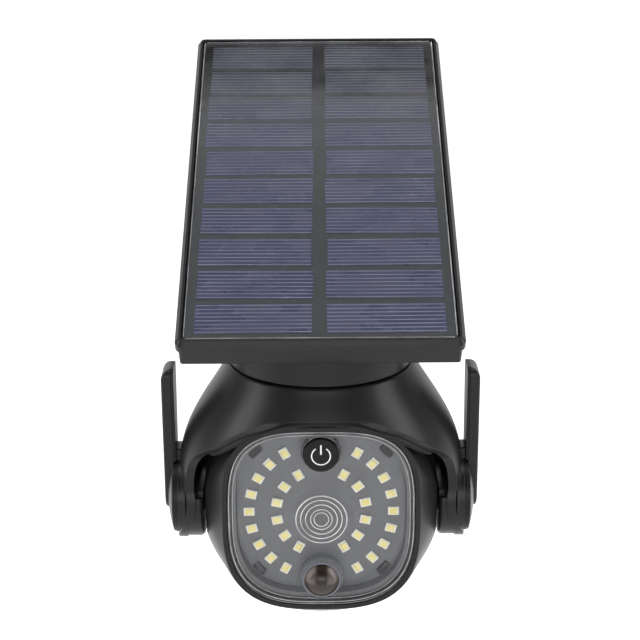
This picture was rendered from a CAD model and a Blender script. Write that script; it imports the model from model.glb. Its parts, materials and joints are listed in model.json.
import json
import math
import random

import bmesh
import bpy
from mathutils import Matrix, Vector


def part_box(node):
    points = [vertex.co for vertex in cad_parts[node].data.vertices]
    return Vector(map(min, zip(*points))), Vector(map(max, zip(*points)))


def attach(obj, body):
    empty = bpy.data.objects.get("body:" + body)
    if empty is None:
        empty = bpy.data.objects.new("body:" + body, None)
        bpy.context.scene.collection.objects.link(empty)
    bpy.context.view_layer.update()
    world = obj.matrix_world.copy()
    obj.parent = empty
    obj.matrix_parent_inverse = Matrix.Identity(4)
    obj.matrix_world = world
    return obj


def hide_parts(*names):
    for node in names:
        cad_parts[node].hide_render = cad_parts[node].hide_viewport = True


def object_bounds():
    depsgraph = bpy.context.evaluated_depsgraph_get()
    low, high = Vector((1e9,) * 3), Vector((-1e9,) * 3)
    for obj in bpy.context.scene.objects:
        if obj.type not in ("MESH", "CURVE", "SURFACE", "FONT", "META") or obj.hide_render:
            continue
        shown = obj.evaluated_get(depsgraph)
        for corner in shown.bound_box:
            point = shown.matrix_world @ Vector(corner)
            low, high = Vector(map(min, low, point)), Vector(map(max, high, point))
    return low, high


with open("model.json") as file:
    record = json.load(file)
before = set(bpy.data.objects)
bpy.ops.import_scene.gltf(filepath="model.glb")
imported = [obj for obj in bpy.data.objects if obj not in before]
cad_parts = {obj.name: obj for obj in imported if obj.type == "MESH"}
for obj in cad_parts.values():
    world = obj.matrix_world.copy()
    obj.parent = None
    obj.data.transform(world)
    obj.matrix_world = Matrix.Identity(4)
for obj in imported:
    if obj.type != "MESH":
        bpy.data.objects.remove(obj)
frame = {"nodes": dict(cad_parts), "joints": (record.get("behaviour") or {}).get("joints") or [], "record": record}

cad_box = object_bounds()

# Looks for the solar security light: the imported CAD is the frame, and every length below is in
# metres. Small sizes are written in millimetres times MM.
MM = 0.001
joint = {item["name"]: item for item in frame["joints"]}
HEAD = Vector(joint["tilt"]["pos_m"])         # centre of the ball head
slot_of = {item["node"]: item["material_slot"] for item in frame["record"]["subparts"]}


def middle(node):
    low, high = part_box(node)
    return (low + high) / 2


# --- Frames -----------------------------------------------------------------------------------
PANEL_TILT = math.radians(26.0)
PANEL = Matrix.Translation(middle("solar_cells")) @ Matrix.Rotation(PANEL_TILT, 4, "X")
FACE = Matrix.Translation(HEAD) @ Matrix.Rotation(math.pi / 2, 4, "X")   # local z points at the viewer


# --- Node helpers -----------------------------------------------------------------------------
class Shader:
    """A material's node tree, with short calls to add and join its nodes."""

    def __init__(self, name):
        self.material = bpy.data.materials.new(name)
        self.material.use_nodes = True
        self.tree = self.material.node_tree
        self.tree.nodes.clear()
        self.place = self.add("ShaderNodeTexCoord").outputs["Object"]

    def add(self, kind, **settings):
        node = self.tree.nodes.new(kind)
        for key, value in settings.items():
            setattr(node, key, value)
        return node

    def feed(self, socket, value):
        if isinstance(value, bpy.types.NodeSocket):
            self.tree.links.new(value, socket)
        else:
            socket.default_value = value

    def noise(self, size, detail=2.0, rough=0.5, stretch=(1.0, 1.0, 1.0)):
        """Noise with features about this size in metres, from 0 to 1."""
        spread = self.add("ShaderNodeMapping")
        spread.inputs["Scale"].default_value = stretch
        self.feed(spread.inputs["Vector"], self.place)
        node = self.add("ShaderNodeTexNoise")
        self.feed(node.inputs["Vector"], spread.outputs["Vector"])
        node.inputs["Scale"].default_value = 1 / size
        node.inputs["Detail"].default_value = detail
        node.inputs["Roughness"].default_value = rough
        return node.outputs["Fac"]

    def remap(self, value, low, high, to_low, to_high):
        node = self.add("ShaderNodeMapRange", clamp=True)
        for socket, number in zip(list(node.inputs)[1:5], (low, high, to_low, to_high)):
            socket.default_value = number
        self.feed(node.inputs[0], value)
        return node.outputs[0]

    def mix(self, share, first, second):
        node = self.add("ShaderNodeMix", data_type="RGBA")
        self.feed(node.inputs[0], share)
        self.feed(node.inputs[6], first)
        self.feed(node.inputs[7], second)
        return node.outputs[2]

    def math(self, operation, first, second=0.0):
        node = self.add("ShaderNodeMath", operation=operation)
        self.feed(node.inputs[0], first)
        self.feed(node.inputs[1], second)
        return node.outputs[0]

    def edges(self, radius):
        """1 on sharp edges within this radius and 0 on flats, with the rounded normal."""
        bevel = self.add("ShaderNodeBevel", samples=4)
        bevel.inputs["Radius"].default_value = radius
        flat = self.add("ShaderNodeNewGeometry")
        dot = self.add("ShaderNodeVectorMath", operation="DOT_PRODUCT")
        self.feed(dot.inputs[0], bevel.outputs["Normal"])
        self.feed(dot.inputs[1], flat.outputs["Normal"])
        return self.remap(dot.outputs["Value"], 0.7, 0.985, 1.0, 0.0), bevel.outputs["Normal"]

    def bump(self, height, depth, normal=None):
        node = self.add("ShaderNodeBump")
        node.inputs["Distance"].default_value = depth
        self.feed(node.inputs["Height"], height)
        if normal is not None:
            self.feed(node.inputs["Normal"], normal)
        return node.outputs["Normal"]

    def principled(self, colour, rough, normal=None, **plain):
        node = self.add("ShaderNodeBsdfPrincipled")
        self.feed(node.inputs["Base Color"], colour)
        self.feed(node.inputs["Roughness"], rough)
        if normal is not None:
            self.feed(node.inputs["Normal"], normal)
        for key, value in plain.items():
            node.inputs[key.replace("_", " ")].default_value = value
        return node.outputs["BSDF"]

    def finish(self, surface):
        output = self.add("ShaderNodeOutputMaterial")
        self.feed(output.inputs["Surface"], surface)
        return self.material


def grey(level, tint=(1.0, 1.0, 1.0)):
    return (level * tint[0], level * tint[1], level * tint[2], 1.0)


# --- Materials --------------------------------------------------------------------------------
COOL = (0.96, 0.98, 1.06)
BOARD_TINT = (0.97, 0.99, 1.03)
WEAR_REACH = 0.35 * MM      # how far rubbed edges show


def moulded(name, level, rough, grain=0.22 * MM, depth=0.004 * MM, tint=COOL, worn=4.0, shine=0.2):
    """Satin injection-moulded plastic: fine spark-eroded grain, faint handling smears, rubbed edges."""
    s = Shader(name)
    wear, rounded = s.edges(WEAR_REACH)
    broken = s.math("MULTIPLY", wear, s.remap(s.noise(3.0 * MM, 4.0), 0.35, 0.7, 0.25, 1.0))
    clouds = s.noise(22 * MM, 3.0)
    base = s.mix(clouds, grey(level * 0.88, tint), grey(level * 1.12, tint))
    specks = s.remap(s.noise(0.5 * MM, 1.0), 0.70, 0.78, 0.0, 0.35)
    base = s.mix(specks, base, grey(level * 2.6, tint))
    colour = s.mix(broken, base, grey(level * worn + 0.006, tint))
    streaks = s.noise(14 * MM, 5.0, 0.6, (1.0, 1.0, 0.45))
    smears = s.remap(streaks, 0.35, 0.7, rough - 0.035, rough + 0.05)
    roughness = s.math("SUBTRACT", smears, s.math("MULTIPLY", wear, 0.07))
    normal = s.bump(s.noise(grain, 3.0, 0.65), depth, rounded)
    return s.finish(s.principled(colour, roughness, normal, Specular_IOR_Level=shine))


def metal(name, colour, rough):
    """Plated or machined metal with fine turning marks."""
    s = Shader(name)
    marks = s.noise(0.25 * MM, 2.0, 0.6, (1.0, 0.12, 1.0))
    tone = s.mix(s.noise(4 * MM, 3.0), colour, tuple(0.8 * part for part in colour[:3]) + (1.0,))
    roughness = s.remap(marks, 0.3, 0.7, rough - 0.06, rough + 0.1)
    return s.finish(s.principled(tone, roughness, s.bump(marks, 0.003 * MM), Metallic=1.0))


def rubber(name, level):
    """Soft matt rubber with dust in its pores."""
    s = Shader(name)
    dust = s.remap(s.noise(1.2 * MM, 4.0), 0.5, 0.75, 0.0, 0.5)
    colour = s.mix(dust, grey(level), grey(level * 2.2))
    return s.finish(s.principled(colour, s.remap(s.noise(6 * MM), 0.3, 0.7, 0.7, 0.85),
                                 s.bump(s.noise(0.3 * MM, 3.0), 0.01 * MM)))


def grey_board(name):
    """The LED board's matt grey mask, with copper tracks just showing as faint ridges."""
    s = Shader(name)
    tone = s.mix(s.noise(9 * MM, 3.0), grey(0.125, BOARD_TINT), grey(0.14, BOARD_TINT))
    weave = s.noise(0.25 * MM, 2.0, 0.6)
    colour = s.mix(s.remap(weave, 0.35, 0.7, 0.0, 0.3), tone, grey(0.115, BOARD_TINT))
    return s.finish(s.principled(colour, s.remap(weave, 0.3, 0.7, 0.5, 0.62), s.bump(weave, 0.006 * MM)))


def green_board(name):
    """Glossy green solder mask over tracks."""
    s = Shader(name)
    tracks = s.remap(s.noise(1.6 * MM, 1.0, 0.3, (1.0, 1.0, 2.5)), 0.5, 0.54, 0.0, 1.0)
    colour = s.mix(tracks, (0.012, 0.09, 0.03, 1), (0.03, 0.17, 0.06, 1))
    roughness = s.remap(s.noise(5 * MM), 0.3, 0.7, 0.25, 0.4)
    return s.finish(s.principled(colour, roughness, s.bump(tracks, 0.02 * MM)))


def sleeve(name):
    """The cell's blue shrink sleeve, wrinkled a little at its ends."""
    s = Shader(name)
    wrinkles = s.noise(3 * MM, 3.0, 0.5, (1.0, 1.0, 0.25))
    colour = s.mix(wrinkles, (0.012, 0.07, 0.22, 1), (0.02, 0.10, 0.30, 1))
    roughness = s.remap(wrinkles, 0.3, 0.7, 0.2, 0.35)
    return s.finish(s.principled(colour, roughness, s.bump(wrinkles, 0.05 * MM)))


def laminate(name):
    """The panel's dark sheet under its clear resin: grey with a faint weave and rare specks."""
    s = Shader(name)
    weave = s.noise(0.6 * MM, 2.0, 0.6)
    tone = s.mix(s.noise(26 * MM, 3.0), grey(0.046, (1.0, 1.0, 1.04)), grey(0.060, (0.96, 1.0, 1.06)))
    specks = s.remap(s.noise(0.8 * MM, 1.0), 0.73, 0.78, 0.0, 0.5)
    colour = s.mix(specks, s.mix(s.remap(weave, 0.3, 0.7, 0, 0.35), tone, grey(0.05)), grey(0.12))
    return s.finish(s.principled(colour, s.remap(weave, 0.3, 0.7, 0.3, 0.42), s.bump(weave, 0.01 * MM)))


def silicon(name):
    """Blue-violet cells, each strip its own shade, with crystal mottling and stepped bands."""
    s = Shader(name)
    strip = s.add("ShaderNodeNewGeometry").outputs["Random Per Island"]
    shade = s.mix(strip, (0.055, 0.062, 0.150, 1), (0.078, 0.088, 0.180, 1))
    patches = s.remap(s.noise(7 * MM, 4.0, 0.55, (0.5, 1.0, 1.0)), 0.3, 0.7, 0.0, 1.0)
    shade = s.mix(s.math("MULTIPLY", patches, 0.45), shade, (0.105, 0.095, 0.160, 1))
    crystals = s.add("ShaderNodeTexVoronoi")
    crystals.inputs["Scale"].default_value = 1 / (2.2 * MM)
    s.feed(crystals.inputs["Vector"], s.place)
    spread = s.add("ShaderNodeSeparateColor")
    s.feed(spread.inputs[0], crystals.outputs["Color"])
    colour = s.mix(s.math("MULTIPLY", spread.outputs[0], 0.25), shade, (0.07, 0.10, 0.21, 1))
    return s.finish(s.principled(colour, s.remap(patches, 0.0, 1.0, 0.22, 0.34)))


def finger_metal(name):
    """Screen-printed silver fingers: pale, granular, fading where the print is thin."""
    s = Shader(name)
    thin = s.remap(s.noise(9 * MM, 4.0, 0.6, (0.6, 1.0, 1.0)), 0.35, 0.65, 0.0, 1.0)
    colour = s.mix(thin, (0.19, 0.195, 0.28, 1), (0.33, 0.33, 0.40, 1))
    return s.finish(s.principled(colour, s.remap(s.noise(0.4 * MM), 0.3, 0.7, 0.4, 0.6), Metallic=0.2))


def clear(name, mirror, haze, tint, rough, ripple, edge_haze=0.0):
    """Clear moulded plastic seen as a thin wall: lets lamps and sight through, mirrors by angle."""
    s = Shader(name)
    ripples = s.bump(s.noise(ripple, 2.0), 0.01 * MM)
    gloss = s.add("ShaderNodeBsdfGlossy")
    s.feed(gloss.inputs["Roughness"], s.remap(s.noise(12 * MM, 4.0), 0.3, 0.7, rough, rough * 2.2))
    s.feed(gloss.inputs["Normal"], ripples)
    milk = s.add("ShaderNodeBsdfDiffuse")
    milk.inputs["Color"].default_value = (0.62, 0.64, 0.68, 1)
    through = s.add("ShaderNodeBsdfTransparent")
    through.inputs["Color"].default_value = tint
    facing = s.add("ShaderNodeLayerWeight")
    facing.inputs["Blend"].default_value = mirror
    wear, _ = s.edges(0.3 * MM)
    cloud = s.remap(s.noise(10 * MM, 4.0), 0.3, 0.75, haze * 0.5, haze)
    veil = s.math("ADD", cloud, s.math("MULTIPLY", wear, edge_haze))
    body = s.add("ShaderNodeMixShader")
    s.feed(body.inputs[0], veil)
    s.feed(body.inputs[1], through.outputs[0])
    s.feed(body.inputs[2], milk.outputs[0])
    whole = s.add("ShaderNodeMixShader")
    s.feed(whole.inputs[0], facing.outputs["Fresnel"])
    s.feed(whole.inputs[1], body.outputs[0])
    s.feed(whole.inputs[2], gloss.outputs[0])
    return s.finish(whole.outputs[0])


def smoky(name, at, reach):
    """The sensor's brown lens: a dark middle, paler moulded segments either side of its upper half."""
    s = Shader(name)
    split = s.add("ShaderNodeSeparateXYZ")
    s.feed(split.inputs[0], s.place)
    across = s.math("ABSOLUTE", s.math("SUBTRACT", split.outputs["X"], at.x))
    upward = s.math("SUBTRACT", split.outputs["Z"], at.z)
    sides = s.remap(across, 0.22 * reach, 0.42 * reach, 0.0, 1.0)
    upper = s.remap(upward, -0.10 * reach, 0.12 * reach, 0.0, 1.0)
    uneven = s.remap(s.noise(2.0 * MM), 0.3, 0.6, 0.4, 1.0)
    patch = s.math("MULTIPLY", s.math("MULTIPLY", sides, upper), uneven)
    middle_tone = s.mix(upper, (0.030, 0.023, 0.019, 1), (0.014, 0.009, 0.007, 1))
    colour = s.mix(patch, middle_tone, (0.115, 0.095, 0.085, 1))
    return s.finish(s.principled(colour, s.remap(s.noise(3 * MM), 0.3, 0.7, 0.26, 0.34),
                                 s.bump(s.noise(1.4 * MM, 2.0), 0.01 * MM), Specular_IOR_Level=0.3))


def gel(name):
    """Yellow phosphor gel, grainy and slightly domed by its meniscus."""
    s = Shader(name)
    each = s.add("ShaderNodeNewGeometry").outputs["Random Per Island"]
    grains = s.noise(0.22 * MM, 2.0)
    tone = s.mix(each, (0.95, 0.83, 0.28, 1), (0.97, 0.90, 0.42, 1))
    colour = s.mix(s.remap(grains, 0.3, 0.7, 0.0, 0.35), tone, (0.80, 0.66, 0.16, 1))
    roughness = s.remap(grains, 0.3, 0.7, 0.25, 0.4)
    return s.finish(s.principled(colour, roughness, s.bump(grains, 0.01 * MM)))


def frosted(name):
    """Ground clear plastic on a moulded ridge: pale, glinting unevenly round the ring."""
    s = Shader(name)
    glint = s.remap(s.noise(6 * MM, 2.0), 0.35, 0.65, 0.0, 1.0)
    colour = s.mix(glint, grey(0.42), grey(0.75))
    return s.finish(s.principled(colour, s.remap(glint, 0.0, 1.0, 0.45, 0.2)))


def plain_gloss(name, colour, rough):
    """Smooth light plastic or print with faint unevenness."""
    s = Shader(name)
    cloud = s.noise(1.5 * MM, 3.0)
    darker = tuple(0.88 * part for part in colour[:3]) + (1.0,)
    tone = s.mix(s.remap(cloud, 0.3, 0.7, 0.0, 1.0), colour, darker)
    roughness = s.remap(cloud, 0.3, 0.7, rough, rough + 0.12)
    return s.finish(s.principled(tone, roughness, s.bump(cloud, 0.004 * MM)))


materials = {
    "black_plastic": moulded("black_plastic", 0.0115, 0.34),
    "dark_plastic": moulded("dark_plastic", 0.008, 0.42, shine=0.15),
    "bracket_plastic": moulded("bracket_plastic", 0.013, 0.46, grain=0.4 * MM, depth=0.010 * MM),
    "inner_plastic": moulded("inner_plastic", 0.03, 0.5),
    "grey_plastic": grey_board("grey_plastic"),
    "cell_silicon": silicon("cell_silicon"),
    "board_dark": laminate("board_dark"),
    "glaze_clear": clear("glaze_clear", 0.2, 0.015, (0.96, 0.97, 0.98, 1), 0.05, 8 * MM),
    "window_clear": clear("window_clear", 0.16, 0.045, grey(0.985), 0.04, 5 * MM, edge_haze=0.35),
    "dome_smoky": smoky("dome_smoky", middle("pir_lens"), 5.65 * MM),
    "ring_grey_blue": moulded("ring_grey_blue", 0.22, 0.4, tint=(0.93, 0.98, 1.12), worn=1.15),
    "led_white": plain_gloss("led_white", (0.93, 0.93, 0.90, 1), 0.3),
    "led_yellow": gel("led_yellow"),
    "icon_white": plain_gloss("icon_white", (0.86, 0.86, 0.86, 1), 0.4),
    "steel": metal("steel", (0.56, 0.56, 0.58, 1), 0.28),
    "black_steel": metal("black_steel", (0.045, 0.045, 0.05, 1), 0.35),
    "brass": metal("brass", (0.62, 0.43, 0.16, 1), 0.3),
    "rubber": rubber("rubber", 0.012),
    "board_green": green_board("board_green"),
    "chip_black": moulded("chip_black", 0.014, 0.5, grain=0.12 * MM),
    "cell_wrap": sleeve("cell_wrap"),
    "tin": metal("tin", (0.66, 0.66, 0.68, 1), 0.2),
    "lead_black": rubber("lead_black", 0.016),
}
ground = frosted("frosted")
for name, node in frame["nodes"].items():
    node.data.materials.clear()
    node.data.materials.append(materials[slot_of[name]])


# --- Mesh helpers -----------------------------------------------------------------------------
def piece(name, mesh_maker, body, slot, stands_for=(), smooth=True, look=None):
    """Makes an object from bmesh code, gives it its look or its slot's, and hangs it on its body."""
    mesh = bpy.data.meshes.new(name)
    shape = bmesh.new()
    mesh_maker(shape)
    bmesh.ops.recalc_face_normals(shape, faces=shape.faces)
    shape.to_mesh(mesh)
    shape.free()
    item = bpy.data.objects.new(name, mesh)
    bpy.context.scene.collection.objects.link(item)
    mesh.materials.append(look or materials[slot])
    if smooth:
        mesh.shade_smooth()
        mesh.set_sharp_from_angle(angle=math.radians(40))
    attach(item, body)
    for node in stands_for:
        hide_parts(node)


def block(shape, place, size, round_by=0.0, segments=2):
    """A box with rounded edges, centred at place (a matrix)."""
    made = bmesh.ops.create_cube(shape, size=1.0, matrix=place @ Matrix.Diagonal((*size, 1.0)))
    if round_by > 0:
        edges = list({edge for vert in made["verts"] for edge in vert.link_edges})
        bmesh.ops.bevel(
            shape, geom=edges, offset=round_by, segments=segments, affect="EDGES", profile=0.5
        )


# --- Solar cells ------------------------------------------------------------------------------
CELL_COLUMNS = 2
CELL_ROWS = 10
COLUMN_GAP = 3.2 * MM
ROW_GAP = 2.0 * MM
FINGERS = 8
FINGER_WIDTH = 0.34 * MM
FINGER_HEIGHT = 0.03 * MM
CELL_THICK = 0.16 * MM
rng = random.Random(7)
cells_low, cells_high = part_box("solar_cells")
CELLS_WIDE = cells_high.x - cells_low.x
CELLS_LONG = (cells_high.y - cells_low.y) / math.cos(PANEL_TILT) - 0.1 * MM
STRIP_WIDE = (CELLS_WIDE - COLUMN_GAP) / CELL_COLUMNS
STRIP_PITCH = (CELLS_LONG + ROW_GAP) / CELL_ROWS
STRIP_HIGH = STRIP_PITCH - ROW_GAP
SILICON_HIGH = STRIP_HIGH - 0.3 * MM


def cell_places():
    """Each strip's own plane, a touch off square and off its place, and its spare width."""
    for column in range(CELL_COLUMNS):
        for row in range(CELL_ROWS):
            x = (column - (CELL_COLUMNS - 1) / 2) * (STRIP_WIDE + COLUMN_GAP)
            y = (row - (CELL_ROWS - 1) / 2) * STRIP_PITCH
            aside = rng.uniform(-0.35, 0.35) * MM
            shift = Vector((x + aside, y + rng.uniform(-0.25, 0.25) * MM, 0))
            turn = math.radians(rng.uniform(-0.5, 0.5))
            place = PANEL @ Matrix.Translation(shift) @ Matrix.Rotation(turn, 4, "Z")
            yield place, rng.uniform(-0.4, 0.3) * MM


strips = list(cell_places())


def cell_strips(shape):
    for place, spare in strips:
        block(shape, place, (STRIP_WIDE - 1.0 * MM + spare, SILICON_HIGH, CELL_THICK), 0.03 * MM, 1)


def cell_fingers(shape):
    for place, spare in strips:
        for index in range(FINGERS):
            y = (index - (FINGERS - 1) / 2) * SILICON_HIGH / (FINGERS - 0.35)
            at = place @ Matrix.Translation((0, y, (CELL_THICK + FINGER_HEIGHT) / 2))
            block(shape, at, (STRIP_WIDE - 1.3 * MM + spare, FINGER_WIDTH, FINGER_HEIGHT))


piece("solar_cell_strips", cell_strips, "root", "cell_silicon", ("solar_cells",), smooth=False)
silver = finger_metal("finger_metal")
piece("solar_cell_fingers", cell_fingers, "root", "cell_silicon", smooth=False, look=silver)

# --- Laminate edge ----------------------------------------------------------------------------
EDGE_HALF = 0.15 * MM
EDGE_DEEP = 0.10 * MM
EDGE_CORNER = 1.0 * MM


def laminate_edge(shape):
    """The clear resin's cut edge, a pale line just inside the frame's dark gap."""
    low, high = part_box("solar_glaze")
    right = (high.x - low.x) / 2
    inside = PANEL.inverted()
    flat = [inside @ vertex.co for vertex in frame["nodes"]["solar_glaze"].data.vertices]
    near = min(point.y for point in flat)
    far = max(point.y for point in flat)
    level = max(point.z for point in flat) - EDGE_DEEP
    across = (2 * (right - EDGE_CORNER), 2 * EDGE_HALF, 2 * EDGE_DEEP)
    along = (2 * EDGE_HALF, far - near - 2 * EDGE_CORNER, 2 * EDGE_DEEP)
    for y in (near + EDGE_HALF, far - EDGE_HALF):
        block(shape, PANEL @ Matrix.Translation((0, y, level)), across)
    for x in (EDGE_HALF - right, right - EDGE_HALF):
        block(shape, PANEL @ Matrix.Translation((x, (near + far) / 2, level)), along)


# --- Face -------------------------------------------------------------------------------------
cover_low, cover_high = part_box("lens_cover")
COVER_FRONT = HEAD.y - cover_low.y              # the clear cover's outside, ahead of the ball's centre
COVER_HALF = (cover_high.x - cover_low.x) / 2
UPPER_POWER = 3.45          # the cover's outline: a square rounded more at its lower corners
LOWER_POWER = 2.9
RING_RADII = (2.35 * MM, 3.45 * MM, 5.1 * MM, 6.65 * MM, 8.15 * MM)
RING_WIRE = 0.13 * MM
OUTER_RING_WIRE = 0.1625 * MM
RING_AHEAD = COVER_FRONT - 0.25 * MM
WIRE_SIDES = 8
RING_STEPS = 96
OUTLINE_STEPS = 160


def wire(shape, points, radius, closed=True):
    """A round wire through points that lie in a plane parallel to the face."""
    rows = []
    count = len(points)
    for index, point in enumerate(points):
        after = points[(index + 1) % count] if closed else points[min(index + 1, count - 1)]
        before = points[index - 1] if closed else points[max(index - 1, 0)]
        out = (after - before).normalized().cross(Vector((0, 0, 1)))
        row = []
        for side in range(WIRE_SIDES):
            around = 2 * math.pi * side / WIRE_SIDES
            offset = out * (radius * math.cos(around)) + Vector((0, 0, radius * math.sin(around)))
            row.append(shape.verts.new(FACE @ (point + offset)))
        rows.append(row)
    for index in range(count if closed else count - 1):
        first, second = rows[index], rows[(index + 1) % count]
        for side in range(WIRE_SIDES):
            other = (side + 1) % WIRE_SIDES
            shape.faces.new((first[side], first[other], second[other], second[side]))
    if not closed:
        shape.faces.new(rows[0])
        shape.faces.new(rows[-1])


def arc(centre, radius, steps, start=0.0, sweep=2 * math.pi):
    """Points along an arc on the face, without the repeated last point on a full circle."""
    count = steps if sweep >= 2 * math.pi else steps + 1
    turns = [start + sweep * step / steps for step in range(count)]
    return [centre + radius * Vector((math.cos(turn), math.sin(turn), 0)) for turn in turns]


def signed_power(value, power):
    return math.copysign(abs(value) ** power, value)


def outline(half, ahead):
    """Points round the cover's outline, of this half size, this far ahead of the ball's centre."""
    points = []
    for step in range(OUTLINE_STEPS):
        turn = 2 * math.pi * step / OUTLINE_STEPS
        power = 2 / (UPPER_POWER if math.sin(turn) >= 0 else LOWER_POWER)
        x = half * signed_power(math.cos(turn), power)
        y = half * signed_power(math.sin(turn), power)
        points.append(Vector((x, y, ahead)))
    return points


def lens_rings(shape):
    """The cover's moulded rings, which imitate a lens: thin ridges in its front wall."""
    for radius in RING_RADII:
        thick = OUTER_RING_WIRE if radius == max(RING_RADII) else RING_WIRE
        wire(shape, arc(Vector((0, 0, RING_AHEAD)), radius, RING_STEPS), thick)


def cover_lines(shape):
    """The bright ground edge round the clear cover, and the step of its skirt just inside."""
    wire(shape, outline(COVER_HALF - 0.35 * MM, COVER_FRONT - 0.9 * MM), 0.15 * MM)
    wire(shape, outline(COVER_HALF - 1.5 * MM, COVER_FRONT - 1.3 * MM), 0.08 * MM)


SHADE_AT = (41.0 * MM, 4.6 * MM, -14.6 * MM)        # from the ball's centre, on the face's axes
SHADE_SIZE = (5.2 * MM, 9.6 * MM, 2.0 * MM)


def arm_shades(shape):
    """Ribs inside the hood's arms, behind the tilt hubs, that keep light from passing the ball."""
    across, up, ahead = SHADE_AT
    for side in (-1, 1):
        block(shape, FACE @ Matrix.Translation((side * across, up, ahead)), SHADE_SIZE, 0.3 * MM)


piece("laminate_edge", laminate_edge, "root", "glaze_clear", smooth=False, look=ground)
piece("arm_shades", arm_shades, "yoke", "dark_plastic")
piece("cover_lines", cover_lines, "head", "window_clear", look=ground)
piece("lens_rings", lens_rings, "head", "window_clear", look=ground)

icon_low, icon_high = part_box("button_icon")
ICON_AT = FACE.inverted() @ Vector((HEAD.x, icon_low.y, (icon_low.z + icon_high.z) / 2))
ICON_DROP = 0.45 * MM
ICON_RADIUS = 2.95 * MM
ICON_STROKE = 0.27 * MM             # half the line's width
ICON_GAP = math.radians(34)         # half the ring's opening
ICON_STEPS = 64
BAR_LOW = 0.15 * ICON_RADIUS
BAR_HIGH = 1.28 * ICON_RADIUS


def power_symbol(shape):
    """A raised open ring with a bar in its gap."""
    centre = Vector((0, ICON_AT.y - ICON_DROP, ICON_AT.z - ICON_STROKE))
    ring = arc(centre, ICON_RADIUS, ICON_STEPS, math.pi / 2 + ICON_GAP, 2 * (math.pi - ICON_GAP))
    wire(shape, ring, ICON_STROKE, closed=False)
    bar = FACE @ Matrix.Translation(centre + Vector((0, (BAR_LOW + BAR_HIGH) / 2, 0)))
    block(shape, bar, (2 * ICON_STROKE, BAR_HIGH - BAR_LOW, 2 * ICON_STROKE), 0.45 * ICON_STROKE, 3)


piece("power_symbol", power_symbol, "button", "icon_white", ("button_icon",))

# --- Stage: floor, camera and light -----------------------------------------------------------
FLOOR_DROP = 0.22           # the light hangs on a wall, so the floor lies well below it
floor_z = cad_box[0][2] - FLOOR_DROP


def floor_material():
    s = Shader("studio_floor")
    tone = s.mix(s.noise(0.4, 3.0), grey(0.93), grey(0.95))
    split = s.add("ShaderNodeSeparateXYZ")
    s.feed(split.inputs[0], s.place)
    surface = s.add("ShaderNodeBsdfPrincipled")
    s.feed(surface.inputs["Base Color"], tone)
    surface.inputs["Roughness"].default_value = 0.9
    surface.inputs["Emission Color"].default_value = (1, 1, 1, 1)
    s.feed(surface.inputs["Emission Strength"], s.remap(split.outputs["Y"], -0.05, 0.22, 0.40, 0.78))
    return s.finish(surface.outputs["BSDF"])


FLOOR_HALF = 9.0
corners = [(x * FLOOR_HALF, y * FLOOR_HALF, floor_z) for x, y in ((-1, -1), (1, -1), (1, 1), (-1, 1))]
floor_mesh = bpy.data.meshes.new("studio_floor")
floor_mesh.from_pydata(corners, [], [(0, 1, 2, 3)])
floor_mesh.materials.append(floor_material())
floor = bpy.data.objects.new("studio_floor", floor_mesh)
bpy.context.scene.collection.objects.link(floor)

VIEW_DROP = math.radians(18.2)      # the camera looks down by this
VIEW_ROLL = math.radians(0.35)      # and leans clockwise by this
lens = bpy.data.cameras.new("camera")
lens.sensor_width = 36.0
lens.lens = 95.6
lens.shift_x = 0.002
camera = bpy.data.objects.new("camera", lens)
camera.location = (-0.00045, -0.630, 0.166)
camera_turn = Matrix.Rotation(math.pi / 2 - VIEW_DROP, 3, "X") @ Matrix.Rotation(-VIEW_ROLL, 3, "Z")
camera.rotation_euler = camera_turn.to_euler()
bpy.context.scene.collection.objects.link(camera)
bpy.context.scene.camera = camera


def softbox(name, place, aim, wide, high, power):
    lamp = bpy.data.lights.new(name, "AREA")
    lamp.shape = "RECTANGLE"
    lamp.size = wide
    lamp.size_y = high
    lamp.energy = power
    item = bpy.data.objects.new(name, lamp)
    item.location = place
    item.rotation_euler = (Vector(aim) - Vector(place)).to_track_quat("-Z", "Y").to_euler()
    bpy.context.scene.collection.objects.link(item)


AIM = (0.0, HEAD.y, HEAD.z + 0.03)
softbox("softbox_left", (-0.85, -0.30, 0.30), AIM, 0.30, 0.9, 6.0)
softbox("softbox_right", (0.85, -0.30, 0.30), AIM, 0.30, 0.9, 6.0)
softbox("softbox_top", (0.0, -0.20, 1.1), AIM, 0.8, 0.4, 6.0)
softbox("softbox_front", (0.0, -1.5, 0.20), AIM, 1.2, 0.5, 9.5)

world = bpy.data.worlds.new("studio")
bpy.context.scene.world = world
world.use_nodes = True
tree = world.node_tree
tree.nodes.clear()
coords = tree.nodes.new("ShaderNodeTexCoord")
split = tree.nodes.new("ShaderNodeSeparateXYZ")
depth = tree.nodes.new("ShaderNodeMapRange")
for socket, number in zip(list(depth.inputs)[1:5], (0.32, 0.85, 0.10, 1.5)):
    socket.default_value = number
backdrop = tree.nodes.new("ShaderNodeBackground")
surround = tree.nodes.new("ShaderNodeOutputWorld")
tree.links.new(coords.outputs["Generated"], split.inputs[0])
tree.links.new(split.outputs["Y"], depth.inputs[0])
tree.links.new(depth.outputs[0], backdrop.inputs["Strength"])
tree.links.new(backdrop.outputs[0], surround.inputs["Surface"])
bpy.context.scene.view_settings.view_transform = "Standard"
